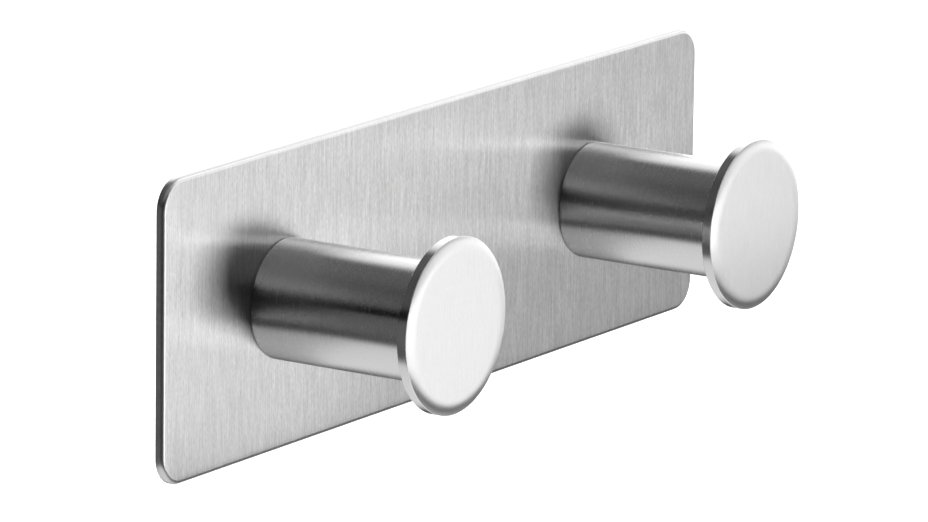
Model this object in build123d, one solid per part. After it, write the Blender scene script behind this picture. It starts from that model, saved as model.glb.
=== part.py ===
"""Wall hook rack: two round pegs with disc heads on a brushed steel back plate.

Millimetres, +X right along the plate, +Y into the wall, +Z up. The origin is the centre of the
wall face, the plane where the backs of the adhesive pads meet the wall.

Each peg is a tube with a plug pressed into its wall end and a disc head pressed into its free
end. A countersunk screw through the back of the plate draws the plug, and so the peg, tight.
"""

import os

from build123d import *

# Back plate, a flat strip cut to length, with its front edge eased.
PLATE_LENGTH = 160.0
PLATE_HEIGHT = 50.0
PLATE_THICKNESS = 1.5
PLATE_CORNER_RADIUS = 5.0
PLATE_EDGE_RADIUS = 0.7

# Pegs. The reach runs from the front of the plate to the front of the head.
PEG_SPACING = 92.0
PEG_DIAMETER = 20.0
PEG_WALL = 1.5
PEG_REACH = 33.5

# Disc head: a straight turned rim, then a face that rolls off towards the rim.
HEAD_DIAMETER = 29.0
HEAD_RIM_WIDTH = 1.6
HEAD_ROLL_WIDTH = 2.6
HEAD_ROLL_DEPTH = 0.6
HEAD_REAR_CHAMFER = 0.15
SPIGOT_LENGTH = 5.0
SPIGOT_CHAMFER = 0.5

# Base plug, tapped through for the fixing screw.
PLUG_LENGTH = 8.0
PLUG_SETBACK = 0.1
PLUG_CHAMFER = 0.5

# Fixing screw, M4 with a 90 degree countersunk head and a hexagon socket.
SCREW_DIAMETER = 4.0
SCREW_LENGTH = 8.0
SCREW_HEAD_DIAMETER = 7.5
SCREW_POINT_CHAMFER = 0.4
SOCKET_ACROSS_FLATS = 2.5
SOCKET_DEPTH = 1.3

# Adhesive foam pads, die-cut. The outer two stand outside the screws, the third between them.
PAD_THICKNESS = 1.1
PAD_CORNER_RADIUS = 2.0
PAD_EDGE_MARGIN = 5.0
PAD_SCREW_MARGIN = 5.0

# Fits: gaps on the radius, and the depth that the screw head sits below the back of the plate.
PRESSED_FIT = 0.02
THREAD_FIT = 0.02
HOLE_CLEARANCE = 0.25
COUNTERSINK_CLEARANCE = 0.1
SCREW_HEAD_SINK = 0.05

# Places along Y, from the wall outwards.
PLATE_BACK = -PAD_THICKNESS
PLATE_FRONT = PLATE_BACK - PLATE_THICKNESS
HEAD_FRONT = PLATE_FRONT - PEG_REACH
HEAD_RIM_FRONT = HEAD_FRONT + HEAD_ROLL_DEPTH
HEAD_REAR = HEAD_RIM_FRONT + HEAD_RIM_WIDTH

# Radii shared by what fits together.
PEG_RADIUS = PEG_DIAMETER / 2
BORE_RADIUS = PEG_RADIUS - PEG_WALL
HEAD_RADIUS = HEAD_DIAMETER / 2
SCREW_RADIUS = SCREW_DIAMETER / 2
SCREW_HEAD_RADIUS = SCREW_HEAD_DIAMETER / 2
TAPPED_RADIUS = SCREW_RADIUS + THREAD_FIT
HOLE_RADIUS = SCREW_RADIUS + HOLE_CLEARANCE
SINK_RADIUS = SCREW_HEAD_RADIUS + COUNTERSINK_CLEARANCE

# The pegs' places along the plate.
PEG_PLACES = {"left": -PEG_SPACING / 2, "right": PEG_SPACING / 2}


def turned(*outline):
    """A body turned about the Y axis from its half outline of (radius, y) points."""
    return revolve(make_face(Polyline(*outline, close=True)), Axis.Y)


def slab(outline, back, thickness):
    """A flat piece of this outline, from the place of its back towards the room."""
    return extrude(Plane.XZ.offset(-back) * outline, thickness)


def countersink():
    """The 90 degree cone that the screw's head sits in, from the back of the plate to its point."""
    return turned((0, PLATE_BACK), (SINK_RADIUS, PLATE_BACK), (0, PLATE_BACK - SINK_RADIUS))


def clearance_hole():
    return turned(
        (0, PLATE_BACK),
        (HOLE_RADIUS, PLATE_BACK),
        (HOLE_RADIUS, PLATE_FRONT),
        (0, PLATE_FRONT),
    )


def back_plate():
    outline = RectangleRounded(PLATE_LENGTH, PLATE_HEIGHT, PLATE_CORNER_RADIUS)
    plate = slab(outline, PLATE_BACK, PLATE_THICKNESS)
    front_edges = plate.faces().sort_by(Axis.Y)[0].edges()
    plate = fillet(front_edges, PLATE_EDGE_RADIUS)
    for x in PEG_PLACES.values():
        plate -= Pos(x, 0, 0) * (clearance_hole() + countersink())
    return plate


def peg_tube():
    return turned(
        (BORE_RADIUS, PLATE_FRONT),
        (PEG_RADIUS, PLATE_FRONT),
        (PEG_RADIUS, HEAD_REAR),
        (BORE_RADIUS, HEAD_REAR),
    )


def disc_head():
    """The face rolls off on an arc that is level with the flat where it starts."""
    spigot_radius = BORE_RADIUS - PRESSED_FIT
    spigot_end = HEAD_REAR + SPIGOT_LENGTH
    flat_radius = HEAD_RADIUS - HEAD_ROLL_WIDTH
    flat_edge = (flat_radius, HEAD_FRONT)
    rim_edge = (HEAD_RADIUS, HEAD_RIM_FRONT)
    outline = Polyline(
        rim_edge,
        (HEAD_RADIUS, HEAD_REAR - HEAD_REAR_CHAMFER),
        (HEAD_RADIUS - HEAD_REAR_CHAMFER, HEAD_REAR),
        (spigot_radius, HEAD_REAR),
        (spigot_radius, spigot_end - SPIGOT_CHAMFER),
        (spigot_radius - SPIGOT_CHAMFER, spigot_end),
        (0, spigot_end),
        (0, HEAD_FRONT),
        flat_edge,
    )
    roll = TangentArc(flat_edge, rim_edge, tangent=(1, 0))
    return revolve(make_face(outline + roll), Axis.Y)


def base_plug():
    """A thin plate leaves part of the screw's cone to the plug, so the countersink runs on."""
    outer = BORE_RADIUS - PRESSED_FIT
    wall_end = PLATE_FRONT - PLUG_SETBACK
    inner_end = wall_end - PLUG_LENGTH
    plug = turned(
        (TAPPED_RADIUS, wall_end),
        (outer - PLUG_CHAMFER, wall_end),
        (outer, wall_end - PLUG_CHAMFER),
        (outer, inner_end + PLUG_CHAMFER),
        (outer - PLUG_CHAMFER, inner_end),
        (TAPPED_RADIUS, inner_end),
    )
    return plug - countersink()


def fixing_screw():
    head_top = PLATE_BACK - SCREW_HEAD_SINK
    cone_end = head_top - (SCREW_HEAD_RADIUS - SCREW_RADIUS)
    point = head_top - SCREW_LENGTH
    screw = turned(
        (0, head_top),
        (SCREW_HEAD_RADIUS, head_top),
        (SCREW_RADIUS, cone_end),
        (SCREW_RADIUS, point + SCREW_POINT_CHAMFER),
        (SCREW_RADIUS - SCREW_POINT_CHAMFER, point),
        (0, point),
    )
    socket = RegularPolygon(SOCKET_ACROSS_FLATS / 2, 6, major_radius=False)
    return screw - slab(socket, head_top, SOCKET_DEPTH)


def adhesive_pad(left, right):
    """A pad on the back of the plate between two places along it."""
    height = PLATE_HEIGHT - 2 * PAD_EDGE_MARGIN
    outline = RectangleRounded(right - left, height, PAD_CORNER_RADIUS)
    return slab(Pos((left + right) / 2, 0) * outline, 0, PAD_THICKNESS)


def adhesive_pads():
    """Three pads, kept clear of the two screw heads so that the pegs can be taken off."""
    end = PLATE_LENGTH / 2 - PAD_EDGE_MARGIN
    clear = SINK_RADIUS + PAD_SCREW_MARGIN
    screw_left, screw_right = PEG_PLACES["left"], PEG_PLACES["right"]
    return {
        "left_adhesive_pad": adhesive_pad(-end, screw_left - clear),
        "centre_adhesive_pad": adhesive_pad(screw_left + clear, screw_right - clear),
        "right_adhesive_pad": adhesive_pad(screw_right + clear, end),
    }


def rack():
    """Every piece, by the name of its node."""
    pieces = {"back_plate": back_plate()}
    makers = {
        "peg_tube": peg_tube,
        "disc_head": disc_head,
        "base_plug": base_plug,
        "fixing_screw": fixing_screw,
    }
    for side, x in PEG_PLACES.items():
        for name, make in makers.items():
            pieces[f"{side}_{name}"] = Pos(x, 0, 0) * make()
    return pieces | adhesive_pads()


os.makedirs("parts", exist_ok=True)
for name, shape in rack().items():
    export_step(shape, f"parts/{name}.step")
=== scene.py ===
"""Looks of the wall hook rack: its steel, screws and foam pads, the studio and the camera."""

import math

import bmesh
import bpy
from mathutils import Matrix, Vector


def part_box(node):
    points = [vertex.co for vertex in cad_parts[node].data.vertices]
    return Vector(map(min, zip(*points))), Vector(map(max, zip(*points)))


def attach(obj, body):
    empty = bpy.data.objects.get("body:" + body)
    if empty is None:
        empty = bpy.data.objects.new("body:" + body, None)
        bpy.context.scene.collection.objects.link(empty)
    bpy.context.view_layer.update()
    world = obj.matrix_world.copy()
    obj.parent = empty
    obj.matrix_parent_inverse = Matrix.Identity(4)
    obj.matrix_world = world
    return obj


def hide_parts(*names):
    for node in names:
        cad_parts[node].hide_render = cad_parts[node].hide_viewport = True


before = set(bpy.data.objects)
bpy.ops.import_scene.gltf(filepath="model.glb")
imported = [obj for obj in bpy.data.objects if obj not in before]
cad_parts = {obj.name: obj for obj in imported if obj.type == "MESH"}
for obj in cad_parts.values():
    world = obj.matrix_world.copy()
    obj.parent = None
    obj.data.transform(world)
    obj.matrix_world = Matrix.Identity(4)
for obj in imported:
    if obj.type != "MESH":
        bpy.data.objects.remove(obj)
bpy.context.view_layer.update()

MM = 0.001
SIDES = ("left", "right")
PAD_PLACES = ("left", "centre", "right")

# Sizes that the CAD parts' boxes don't give, all in metres.
PLATE_CORNER = 5.0 * MM
PLATE_EDGE = 0.7 * MM
PLATE_BACK_EDGE = 0.15 * MM
TUBE_WALL = 1.5 * MM
TUBE_EDGE = 0.2 * MM
ROLL_WIDTH = 2.6 * MM
ROLL_DEPTH = 0.5 * MM
RIM_BREAK = 0.08 * MM
HEAD_REAR_CHAMFER = 0.15 * MM
PAD_CORNER = 2.0 * MM
PAD_EDGE = 0.12 * MM
SCREW_RADIUS = 2.0 * MM
SCREW_LIP_SHARE = 0.62
SOCKET_RADIUS = 1.25 * MM / math.cos(math.pi / 6)
SOCKET_DEPTH = 1.3 * MM

TURN_STEPS = 144
CORNER_STEPS = 12
EDGE_STEPS = 5
BACK_EDGE_STEPS = 2
ROLL_STEPS = 14
MERGE_GAP = MM / 1000
SHARP_ANGLE = math.radians(28)

# The finish map gives the way across the scratches. Round a turned piece it runs this far for each radian.
FINISH_MAP = "finish"
FINISH_REACH = 10 * MM
# A face whose normal is this near the Y axis, as a cosine, is flat, or is one of the plate's two sides.
FLAT_SQUARENESS = 0.9
PLATE_SQUARENESS = 0.996


# ---------------------------------------------------------------- materials


def srgb(code):
    """An sRGB hex colour as linear RGBA."""
    parts = [int(code[i : i + 2], 16) / 255 for i in (1, 3, 5)]
    linear = [p / 12.92 if p <= 0.04045 else ((p + 0.055) / 1.055) ** 2.4 for p in parts]
    return (*linear, 1.0)


def add_node(tree, kind, links=None, **settings):
    """Adds a node. Settings name its properties or, with in_ before them, its inputs. Links feed inputs."""
    node = tree.nodes.new(kind)
    for key, value in settings.items():
        if key.startswith("in_"):
            slot = key[3:]
            node.inputs[int(slot) if slot.isdigit() else slot.replace("_", " ")].default_value = value
        else:
            setattr(node, key, value)
    for slot, source in (links or {}).items():
        tree.links.new(source, node.inputs[slot])
    return node


def new_material(name):
    """A material, its node tree and its shader."""
    made = bpy.data.materials.new(name)
    made.use_nodes = True
    tree = made.node_tree
    return made, tree, tree.nodes["Principled BSDF"]


def tinted(tree, shader, factor, dark, light):
    """The shader's colour, from dark to light by factor."""
    tint = add_node(
        tree,
        "ShaderNodeMix",
        {"Factor": factor},
        data_type="RGBA",
        in_6=srgb(dark),
        in_7=srgb(light),
    )
    tree.links.new(tint.outputs[2], shader.inputs["Base Color"])


def stretched_noise(tree, place, width, length, across, detail):
    """Noise drawn out along the brushing. Width and length are a streak's, and across is its narrow axis."""
    scale = [1 / length] * 3
    scale["XYZ".index(across)] = 1 / width
    mapped = add_node(tree, "ShaderNodeMapping", {"Vector": place}, in_Scale=scale)
    noise = add_node(
        tree, "ShaderNodeTexNoise", {"Vector": mapped.outputs["Vector"]}, in_Scale=1.0, in_Detail=detail
    )
    return noise.outputs["Fac"]


def ranged(tree, source, low, high, start=0.3, end=0.7):
    """The part of a pattern from start to end, spread to run from low to high."""
    node = add_node(
        tree,
        "ShaderNodeMapRange",
        {"Value": source},
        in_From_Min=start,
        in_From_Max=end,
        in_To_Min=low,
        in_To_Max=high,
    )
    return node.outputs["Result"]


# A real scratch is about 0.05 mm wide, which is too fine to show, so it is drawn over twice as wide.
SCRATCH_WIDTH, SCRATCH_LENGTH, SCRATCH_DETAIL = 0.12 * MM, 0.8 * MM, 3.0
BAND_WIDTH, BAND_LENGTH, BAND_DETAIL = 0.2 * MM, 6 * MM, 2.0
BAND_SHARE = 0.45
STREAK_START, STREAK_END = 0.32, 0.68
SCRATCH_DEPTH = 0.01 * MM


def brushed_steel(name, dark, light, roughness, anisotropy, across, relief):
    """304 stainless, belt brushed or turned. Its parallel scratches spread what it mirrors across them."""
    made, tree, shader = new_material(name)
    place = add_node(tree, "ShaderNodeTexCoord").outputs["Object"]
    scratches = stretched_noise(tree, place, SCRATCH_WIDTH, SCRATCH_LENGTH, across, SCRATCH_DETAIL)
    bands = stretched_noise(tree, place, BAND_WIDTH, BAND_LENGTH, across, BAND_DETAIL)
    mixed = add_node(
        tree, "ShaderNodeMix", {2: scratches, 3: bands}, data_type="FLOAT", in_Factor=BAND_SHARE
    )
    streaks = ranged(tree, mixed.outputs[0], 0.0, 1.0, STREAK_START, STREAK_END)
    tinted(tree, shader, streaks, dark, light)
    spread = ranged(tree, mixed.outputs[0], *roughness, STREAK_START, STREAK_END)
    tree.links.new(spread, shader.inputs["Roughness"])
    bump = add_node(
        tree, "ShaderNodeBump", {"Height": scratches}, in_Strength=relief, in_Distance=SCRATCH_DEPTH
    )
    tree.links.new(bump.outputs["Normal"], shader.inputs["Normal"])
    shader.inputs["Metallic"].default_value = 1.0
    if anisotropy > 0:
        tangent = add_node(tree, "ShaderNodeTangent", direction_type="UV_MAP", uv_map=FINISH_MAP)
        tree.links.new(tangent.outputs["Tangent"], shader.inputs["Tangent"])
        shader.inputs["Anisotropic"].default_value = anisotropy
    return made


# Belt brushed along the plate's height: fine upright lines, and lights drawn out sideways into a soft glow.
plate_steel = brushed_steel("belt_brushed_plate_steel", "#ADADAD", "#DDDDDD", (0.32, 0.4), 1.0, "X", 0.1)
# The plate's rounded edge, smoothed after cutting: weaker lines and an even shine that outlines the plate.
edge_steel = brushed_steel("deburred_plate_edge_steel", "#B0B0B0", "#C8C8C8", (0.33, 0.4), 0.6, "X", 0.08)
# Tube finished in a lathe: faint rings round it, and bright and dark bands down its length.
peg_steel = brushed_steel("turned_satin_peg_steel", "#BEBEBE", "#C4C4C4", (0.21, 0.29), 0.9, "Y", 0.1)
# The disc's face, brushed upright like the plate but more lightly, with faint lines. Its almost white tint,
# lighter than the plate's steel, is painted light that makes the face look brighter than the plate.
face_steel = brushed_steel("belt_brushed_head_steel", "#D5D5D5", "#E3E3E3", (0.38, 0.46), 0.93, "X", 0.12)
# The disc's turned side: the smoothest steel here, with sharp dark and bright stretches round it.
rim_steel = brushed_steel("turned_rim_steel", "#BEBEBE", "#C4C4C4", (0.17, 0.23), 0.6, "Y", 0.08)
# The hidden plug, left as turned: duller and darker.
plug_steel = brushed_steel("turned_plug_steel", "#A6A6A6", "#B2B2B2", (0.3, 0.4), 0.0, "Y", 0.2)


ZINC_CLOUD = 0.6 * MM
# Most cells of the real foam are too fine to show, so they are drawn this coarse.
FOAM_CELL, FOAM_CELL_DEPTH = 0.35 * MM, 0.05 * MM
FOAM_CLOUD = 4 * MM


def zinc_plate():
    """Bright zinc over a cold headed screw: a faintly blue, slightly cloudy metal."""
    made, tree, shader = new_material("bright_zinc_plate")
    place = add_node(tree, "ShaderNodeTexCoord").outputs["Object"]
    cloud = add_node(tree, "ShaderNodeTexNoise", {"Vector": place}, in_Scale=1 / ZINC_CLOUD, in_Detail=4.0)
    tinted(tree, shader, cloud.outputs["Fac"], "#A7ABB2", "#C3C6CB")
    tree.links.new(ranged(tree, cloud.outputs["Fac"], 0.22, 0.38), shader.inputs["Roughness"])
    shader.inputs["Metallic"].default_value = 1.0
    return made


def acrylic_foam():
    """Closed-cell acrylic foam tape: a soft dark grey sheet with pebbled cells and a tacky sheen."""
    made, tree, shader = new_material("acrylic_foam_tape")
    place = add_node(tree, "ShaderNodeTexCoord").outputs["Object"]
    cells = add_node(tree, "ShaderNodeTexVoronoi", {"Vector": place}, in_Scale=1 / FOAM_CELL)
    cloud = add_node(tree, "ShaderNodeTexNoise", {"Vector": place}, in_Scale=1 / FOAM_CLOUD, in_Detail=5.0)
    tinted(tree, shader, cloud.outputs["Fac"], "#5B5D60", "#6E7073")
    tree.links.new(ranged(tree, cloud.outputs["Fac"], 0.42, 0.6), shader.inputs["Roughness"])
    bump = add_node(
        tree,
        "ShaderNodeBump",
        {"Height": cells.outputs["Distance"]},
        in_Strength=0.35,
        in_Distance=FOAM_CELL_DEPTH,
    )
    tree.links.new(bump.outputs["Normal"], shader.inputs["Normal"])
    return made


zinc = zinc_plate()
foam = acrylic_foam()


# ---------------------------------------------------------------- mesh work


def into_object(name, bm, materials):
    """The bmesh as an object with smooth shading, broken at its sharp edges."""
    mesh = bpy.data.meshes.new(name)
    bm.to_mesh(mesh)
    bm.free()
    mesh.shade_smooth()
    mesh.set_sharp_from_angle(angle=SHARP_ANGLE)
    for material in materials:
        mesh.materials.append(material)
    if mesh.uv_layers:
        mesh.uv_layers[0].name = FINISH_MAP
    made = bpy.data.objects.new(name, mesh)
    bpy.context.scene.collection.objects.link(made)
    return made


def stand_in(made, node):
    """The piece rides on the rack and takes a CAD node's place."""
    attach(made, "root")
    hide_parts(node)


def turn(profile, centre):
    """A body turned about an axis along Y through centre, from (radius, y) points."""
    bm = bmesh.new()
    verts = [bm.verts.new((centre.x + radius, y, centre.z)) for radius, y in profile]
    edges = [bm.edges.new(pair) for pair in zip(verts, verts[1:])]
    bmesh.ops.spin(
        bm,
        geom=verts + edges,
        cent=centre,
        axis=(0, 1, 0),
        angle=2 * math.pi,
        steps=TURN_STEPS,
        use_merge=True,
    )
    bmesh.ops.remove_doubles(bm, verts=bm.verts, dist=MERGE_GAP)
    bmesh.ops.recalc_face_normals(bm, faces=bm.faces)
    return bm


def rounded(bm, geom, size, steps, affect):
    """Rounds these corners or edges."""
    bmesh.ops.bevel(
        bm,
        geom=geom,
        offset=size,
        offset_type="OFFSET",
        affect=affect,
        segments=steps,
        profile=0.5,
        material=-1,
    )


def rounded_slab(low, high, corner, edge, back_edge):
    """A sheet from low to high with rounded corners, its front edge rounded and its back edge broken."""
    bm = bmesh.new()
    places = ((low.x, low.z), (high.x, low.z), (high.x, high.z), (low.x, high.z))
    sheet = bm.faces.new([bm.verts.new((x, high.y, z)) for x, z in places])
    rounded(bm, list(sheet.verts), corner, CORNER_STEPS, "VERTICES")
    grown = bmesh.ops.extrude_face_region(bm, geom=bm.faces[:], use_keep_orig=True)["geom"]
    front_verts = [g for g in grown if isinstance(g, bmesh.types.BMVert)]
    bmesh.ops.translate(bm, verts=front_verts, vec=(0, low.y - high.y, 0))
    bmesh.ops.recalc_face_normals(bm, faces=bm.faces)
    for y, size, steps in ((low.y, edge, EDGE_STEPS), (high.y, back_edge, BACK_EDGE_STEPS)):
        outline = [e for e in bm.edges if all(abs(v.co.y - y) < MERGE_GAP for v in e.verts)]
        rounded(bm, outline, size, steps, "EDGES")
    return bm


def map_linear(bm, faces):
    """Lays the finish map so that its first axis runs across vertical brushing."""
    layer = bm.loops.layers.uv.verify()
    for face in faces:
        for loop in face.loops:
            loop[layer].uv = (loop.vert.co.x + loop.vert.co.y, loop.vert.co.z)


def map_turned(bm, faces, centre):
    """Lays the finish map so that its first axis runs across scratches that go round the Y axis."""
    layer = bm.loops.layers.uv.verify()
    for face in faces:
        middle = face.calc_center_median() - centre
        facing = math.atan2(middle.z, middle.x)
        flat = abs(face.normal.y) > FLAT_SQUARENESS
        for loop in face.loops:
            out = loop.vert.co - centre
            turned = math.atan2(out.z, out.x) - facing
            turned = (turned + math.pi) % (2 * math.pi) - math.pi + facing
            across = math.hypot(out.x, out.z) if flat else loop.vert.co.y
            loop[layer].uv = (across, turned * FINISH_REACH)


# ---------------------------------------------------------------- pieces


def plate():
    """The brushed plate, with its edge in a steel of its own. It has no holes, so it covers the screws."""
    low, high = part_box("back_plate")
    bm = rounded_slab(low, high, PLATE_CORNER, PLATE_EDGE, PLATE_BACK_EDGE)
    map_linear(bm, bm.faces)
    for face in bm.faces:
        face.material_index = int(abs(face.normal.y) < PLATE_SQUARENESS)
    made = into_object("brushed_back_plate", bm, [plate_steel, edge_steel])
    stand_in(made, "back_plate")


def tube(side):
    """A peg's tube, with a broken edge where it meets the plate."""
    low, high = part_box(f"{side}_peg_tube")
    centre = (low + high) / 2
    outer = (high.x - low.x) / 2
    bore = outer - TUBE_WALL
    profile = [
        (bore, high.y),
        (outer - TUBE_EDGE, high.y),
        (outer, high.y - TUBE_EDGE),
        (outer, low.y),
        (bore, low.y),
        (bore, high.y),
    ]
    bm = turn(profile, centre)
    map_turned(bm, bm.faces, centre)
    made = into_object(f"{side}_satin_peg", bm, [peg_steel])
    stand_in(made, f"{side}_peg_tube")


def head(side):
    """A peg's disc with its rolled front edge, turned side and the spigot behind it."""
    low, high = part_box(f"{side}_disc_head")
    tube_low, tube_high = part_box(f"{side}_peg_tube")
    centre = (low + high) / 2
    radius = (high.x - low.x) / 2
    spigot = (tube_high.x - tube_low.x) / 2 - TUBE_WALL
    rim_front = low.y + ROLL_DEPTH
    rear = tube_low.y
    flat = radius - ROLL_WIDTH
    # The roll is an arc that starts level with the flat face.
    arc_radius = (ROLL_WIDTH**2 + ROLL_DEPTH**2) / (2 * ROLL_DEPTH)
    sweep = math.asin((ROLL_WIDTH - RIM_BREAK) / arc_radius)
    arc = [
        (flat + arc_radius * math.sin(t), low.y + arc_radius * (1 - math.cos(t)))
        for t in (sweep * i / ROLL_STEPS for i in range(ROLL_STEPS + 1))
    ]
    profile = [
        *[(flat * i / 3, low.y) for i in range(3)],
        *arc,
        (radius, rim_front + RIM_BREAK),
        (radius, rear - HEAD_REAR_CHAMFER),
        (radius - HEAD_REAR_CHAMFER, rear),
        (spigot, rear),
        (spigot, high.y),
        (0, high.y),
    ]
    bm = turn(profile, centre)
    face_depth = rim_front + RIM_BREAK / 2
    front = [f for f in bm.faces if f.calc_center_median().y < face_depth]
    turned = [f for f in bm.faces if f.calc_center_median().y >= face_depth]
    map_linear(bm, front)
    map_turned(bm, turned, centre)
    for face in turned:
        face.material_index = 1
    made = into_object(f"{side}_brushed_head", bm, [face_steel, rim_steel])
    stand_in(made, f"{side}_disc_head")
    return made


def screw(side):
    """A countersunk screw with a hexagon socket, its head just below the back of the plate."""
    low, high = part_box(f"{side}_fixing_screw")
    centre = (low + high) / 2
    head_radius = (high.x - low.x) / 2
    cone_end = high.y - (head_radius - SCREW_RADIUS)
    profile = [
        (head_radius * SCREW_LIP_SHARE, high.y),
        (head_radius, high.y),
        (SCREW_RADIUS, cone_end),
        (SCREW_RADIUS, low.y),
        (0, low.y),
    ]
    bm = turn(profile, centre)
    lip = [e for e in bm.edges if e.is_boundary]
    socket = bmesh.ops.create_circle(bm, segments=6, radius=SOCKET_RADIUS)["verts"]
    bmesh.ops.rotate(bm, verts=socket, cent=(0, 0, 0), matrix=Matrix.Rotation(math.pi / 2, 3, "X"))
    bmesh.ops.translate(bm, verts=socket, vec=(centre.x, high.y, centre.z))
    hexagon = [e for e in bm.edges if e.verts[0] in socket and e.verts[1] in socket]
    # On the right screw these faces cross over and close the socket. It lies inside the plate, out of sight.
    bmesh.ops.bridge_loops(bm, edges=lip + hexagon)
    sunk = bmesh.ops.extrude_edge_only(bm, edges=hexagon)["geom"]
    floor_verts = [g for g in sunk if isinstance(g, bmesh.types.BMVert)]
    floor_edges = [g for g in sunk if isinstance(g, bmesh.types.BMEdge)]
    bmesh.ops.translate(bm, verts=floor_verts, vec=(0, -SOCKET_DEPTH, 0))
    bmesh.ops.contextual_create(bm, geom=floor_edges)
    bmesh.ops.recalc_face_normals(bm, faces=bm.faces)
    made = into_object(f"{side}_zinc_screw", bm, [zinc])
    stand_in(made, f"{side}_fixing_screw")


def pad(where):
    """A die-cut foam pad."""
    low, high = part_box(f"{where}_adhesive_pad")
    bm = rounded_slab(low, high, PAD_CORNER, PAD_EDGE, PAD_EDGE)
    made = into_object(f"{where}_foam_tape", bm, [foam])
    stand_in(made, f"{where}_adhesive_pad")


plate()
heads = []
for side in SIDES:
    tube(side)
    heads.append(head(side))
    screw(side)
    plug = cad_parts[f"{side}_base_plug"]
    plug.data.materials.clear()
    plug.data.materials.append(plug_steel)
for where in PAD_PLACES:
    pad(where)


# ---------------------------------------------------------------- camera

AZIMUTH, ELEVATION, ROLL = math.radians(56.9), math.radians(12.95), math.radians(0.8)
DISTANCE = 1.284
AIM_RIGHT, AIM_UP = 4.9 * MM, -2.5 * MM
SENSOR, FOCAL = 36.0, 299.0
CLIP_END = 20


def camera_axes(azimuth, elevation, roll):
    """Right, up and forward of a camera that looks along +Y, turned towards +X and tipped down."""
    forward = Vector(
        (
            math.sin(azimuth) * math.cos(elevation),
            math.cos(azimuth) * math.cos(elevation),
            -math.sin(elevation),
        )
    )
    right = forward.cross(Vector((0, 0, 1))).normalized()
    up = right.cross(forward)
    c, s = math.cos(roll), math.sin(roll)
    return c * right + s * up, c * up - s * right, forward


def camera():
    """A long lens from the left, a little above, aimed near the middle of the rack's wall side."""
    right, up, forward = camera_axes(AZIMUTH, ELEVATION, ROLL)
    data = bpy.data.cameras.new("camera")
    data.sensor_width = SENSOR
    data.lens = FOCAL
    data.clip_end = CLIP_END
    made = bpy.data.objects.new("camera", data)
    plate_back = Vector((0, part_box("back_plate")[1].y, 0))
    place = plate_back + AIM_RIGHT * right + AIM_UP * up - DISTANCE * forward
    made.matrix_world = Matrix.Translation(place) @ Matrix((right, up, -forward)).transposed().to_4x4()
    bpy.context.scene.collection.objects.link(made)
    bpy.context.scene.camera = made


# ---------------------------------------------------------------- studio

FLOOR_SIZE, FLOOR_DROP = 1.8, 0.3
PAPER_FIBRE = 5 * MM

# The overhead panel lights what is matt, and the steel doesn't mirror it.
OVERHEAD_PLACE, OVERHEAD_SIZE, OVERHEAD_RADIANCE = (0, -0.2, 1.6), (2.4, 2.4), 6.0
FRONT_PLACE, FRONT_SIZE, FRONT_RADIANCE = (0.104, -0.45, -0.11), (0.16, 0.22), 7.5

# The flag: how far before the wall it hangs, its left, right, bottom and top, and how much light it stops.
FLAG_DEPTH = -0.1
FLAG_EDGES = (0.01, 0.25, -0.3, -0.02)
FLAG_COVER = 0.3

# Brightness by height in each quarter of the studio, where -1 is straight down and 1 straight up.
LEFT_BACK = (
    (-1.0, 1.2),
    (-0.62, 1.1),
    (-0.54, 0.35),
    (-0.5, 0.14),
    (-0.2, 0.18),
    (0.16, 0.17),
    (0.18, 0.0),
    (0.32, 0.0),
    (0.42, 0.12),
    (0.8, 0.1),
    (1.0, 0.3),
)
RIGHT_BACK = (
    (-1.0, 1.0),
    (-0.7, 0.6),
    (-0.62, 0.08),
    (-0.48, 0.08),
    (-0.35, 1.0),
    (0.0, 2.4),
    (0.5, 2.4),
    (0.65, 1.4),
    (1.0, 1.6),
)
LEFT_FRONT = (
    (-1.0, 1.2),
    (-0.66, 1.2),
    (-0.6, 0.12),
    (-0.5, 0.03),
    (-0.02, 0.03),
    (0.04, 0.0),
    (0.42, 0.0),
    (0.5, 0.36),
    (1.0, 0.32),
)
RIGHT_FRONT = (
    (-1.0, 1.0),
    (-0.7, 0.6),
    (-0.62, 0.08),
    (-0.5, 0.08),
    (-0.13, 0.12),
    (-0.07, 1.3),
    (0.0, 3.0),
    (0.17, 3.0),
    (0.21, 0.4),
    (0.34, 0.4),
    (0.42, 3.4),
    (0.62, 3.4),
    (0.74, 0.5),
    (1.0, 0.3),
)
# Where one quarter passes into the next, as the x or y of the way that is looked.
RIGHT_BACK_STARTS, RIGHT_FRONT_STARTS = (0.3, 0.5), (0.35, 0.5)
FRONT_STARTS = (-0.2, 0.1)


def floor():
    """A wide pale floor well below the rack. It lights the scene like paper and is not mirrored itself."""
    bm = bmesh.new()
    bmesh.ops.create_grid(bm, x_segments=1, y_segments=1, size=FLOOR_SIZE)
    bmesh.ops.translate(bm, verts=bm.verts, vec=(0, 0, -FLOOR_DROP))
    made, tree, shader = new_material("matt_white_paper")
    place = add_node(tree, "ShaderNodeTexCoord").outputs["Object"]
    fibre = add_node(tree, "ShaderNodeTexNoise", {"Vector": place}, in_Scale=1 / PAPER_FIBRE, in_Detail=3.0)
    tinted(tree, shader, fibre.outputs["Fac"], "#F6F6F5", "#FAFAF9")
    shader.inputs["Roughness"].default_value = 0.9
    paper = into_object("studio_floor", bm, [made])
    paper.visible_glossy = False


def flag():
    """A black net that thins the front panel's light on the lower right of the plate. It is hidden from the
    camera and from diffuse light, but the steel mirrors it.
    """
    bm = bmesh.new()
    left, right, bottom, top = FLAG_EDGES
    places = ((left, bottom), (right, bottom), (right, top), (left, top))
    bm.faces.new([bm.verts.new((x, FLAG_DEPTH, z)) for x, z in places])
    made, tree, shader = new_material("black_net")
    shader.inputs["Base Color"].default_value = srgb("#1A1A1A")
    shader.inputs["Roughness"].default_value = 0.9
    shader.inputs["Alpha"].default_value = FLAG_COVER
    card = into_object("flag", bm, [made])
    card.visible_camera = False
    card.visible_diffuse = False


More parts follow.
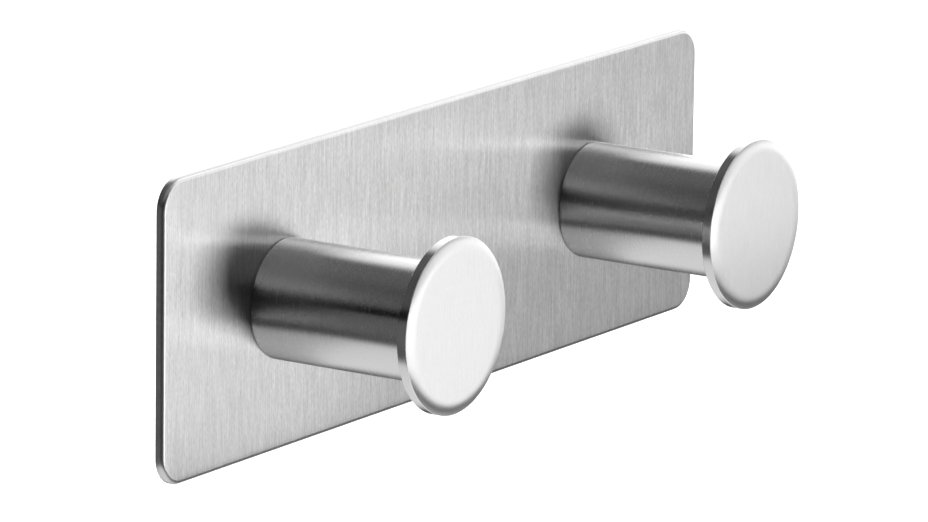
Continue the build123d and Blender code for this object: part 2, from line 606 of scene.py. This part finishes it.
def softbox(name, place, aim, size, radiance, glossy=True):
    """A soft panel light, with its power worked out from how bright its face looks."""
    data = bpy.data.lights.new(name, "AREA")
    data.shape = "RECTANGLE"
    data.size, data.size_y = size
    data.energy = radiance * math.pi * size[0] * size[1]
    made = bpy.data.objects.new(name, data)
    made.location = place
    made.rotation_euler = (Vector(aim) - Vector(place)).to_track_quat("-Z", "Y").to_euler()
    made.visible_glossy = glossy
    bpy.context.scene.collection.objects.link(made)
    return made


def let_past(light, pieces):
    """The light shines past these pieces, which would otherwise throw a shadow."""
    passed = bpy.data.collections.new(f"{light.name}_shines_past")
    light.light_linking.blocker_collection = passed
    for piece in pieces:
        passed.objects.link(piece)
    for entry in passed.collection_objects:
        entry.light_linking.link_state = "EXCLUDE"


def ramp(tree, height, stops):
    """Brightness by height, from (height, brightness) stops."""
    node = add_node(tree, "ShaderNodeValToRGB", {"Fac": height})
    elements = node.color_ramp.elements
    for place, value in stops[1:-1]:
        elements.new((place + 1) / 2).color = (value, value, value, 1)
    for end in (0, -1):
        value = stops[end][1]
        elements[end].color = (value, value, value, 1)
    return node.outputs["Color"]


def blend(tree, factor, first, second):
    """From the first colour to the second by factor."""
    links = {"Factor": factor, 6: first, 7: second}
    return add_node(tree, "ShaderNodeMix", links, data_type="RGBA").outputs[2]


def room():
    """The studio that the steel mirrors, by quarter: left or right, and behind or before the wall's face."""
    world = bpy.data.worlds.new("studio")
    bpy.context.scene.world = world
    world.use_nodes = True
    tree = world.node_tree
    way = add_node(tree, "ShaderNodeTexCoord").outputs["Generated"]
    parts = add_node(tree, "ShaderNodeSeparateXYZ", {0: way}).outputs
    height = ranged(tree, parts["Z"], 0.0, 1.0, -1.0, 1.0)
    right_behind = ranged(tree, parts["X"], 0.0, 1.0, *RIGHT_BACK_STARTS)
    right_before = ranged(tree, parts["X"], 0.0, 1.0, *RIGHT_FRONT_STARTS)
    before = ranged(tree, parts["Y"], 1.0, 0.0, *FRONT_STARTS)
    behind = blend(tree, right_behind, ramp(tree, height, LEFT_BACK), ramp(tree, height, RIGHT_BACK))
    front = blend(tree, right_before, ramp(tree, height, LEFT_FRONT), ramp(tree, height, RIGHT_FRONT))
    mirrored = blend(tree, before, behind, front)
    seen_straight = add_node(tree, "ShaderNodeLightPath").outputs["Is Camera Ray"]
    seen = add_node(
        tree,
        "ShaderNodeMix",
        {"Factor": seen_straight, 6: mirrored},
        data_type="RGBA",
        in_7=(1.0, 1.0, 1.0, 1.0),
    )
    background = tree.nodes["Background"]
    tree.links.new(seen.outputs[2], background.inputs["Color"])
    background.inputs["Strength"].default_value = 1.0


camera()
floor()
room()
flag()
softbox("overhead", OVERHEAD_PLACE, (0, 0, 0), OVERHEAD_SIZE, OVERHEAD_RADIANCE, glossy=False)
front_aim = (FRONT_PLACE[0], 0, FRONT_PLACE[2])
front_panel = softbox("front_panel", FRONT_PLACE, front_aim, FRONT_SIZE, FRONT_RADIANCE)
let_past(front_panel, heads)
bpy.context.scene.view_settings.view_transform = "Standard"
